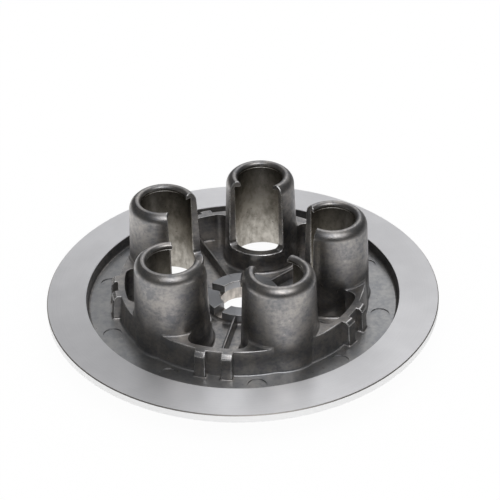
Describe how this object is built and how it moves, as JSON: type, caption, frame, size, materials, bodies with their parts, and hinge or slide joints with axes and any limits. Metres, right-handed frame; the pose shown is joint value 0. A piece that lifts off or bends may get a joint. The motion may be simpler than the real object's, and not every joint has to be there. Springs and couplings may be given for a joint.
{
  "type": "clutch pressure plate",
  "caption": "Round cast plate with a flat machined rim, a ring of tall open spring towers joined by low curved walls, and a ribbed centre with a notched thrust hub.",
  "frame": {"origin": "on the plate axis, in the plane of the hub foot, which is the lowest point of the part", "axes": "+Z along the plate axis, from the back towards the tower crests; +X from the plate axis through the first spring tower"},
  "size_m": [0.138, 0.138, 0.0379],
  "materials": {
    "cast_aluminium": "as-cast, fine grain, slightly dulled",
    "machined_aluminium": "fine turned"
  },
  "bodies": {
    "root": {"friction_ring": "machined_aluminium", "outer_floor": "cast_aluminium", "pan_floor": "cast_aluminium", "spring_tower_1": "cast_aluminium", "spring_tower_2": "cast_aluminium", "spring_tower_3": "cast_aluminium", "spring_tower_4": "cast_aluminium", "spring_tower_5": "cast_aluminium", "curved_wall_1": "cast_aluminium", "curved_wall_2": "cast_aluminium", "curved_wall_3": "cast_aluminium", "curved_wall_4": "cast_aluminium", "curved_wall_5": "cast_aluminium", "guide_lugs_1": "cast_aluminium", "guide_lugs_2": "cast_aluminium", "guide_lugs_3": "cast_aluminium", "guide_lugs_4": "cast_aluminium", "guide_lugs_5": "cast_aluminium", "pan_rib_1": "cast_aluminium", "pan_rib_2": "cast_aluminium", "pan_rib_3": "cast_aluminium", "pan_rib_4": "cast_aluminium", "pan_rib_5": "cast_aluminium", "hub_ring": "cast_aluminium", "thrust_pad_1": "machined_aluminium", "thrust_pad_2": "machined_aluminium", "thrust_pad_3": "machined_aluminium", "thrust_pad_4": "machined_aluminium", "thrust_pad_5": "machined_aluminium"}
  },
  "joints": []
}
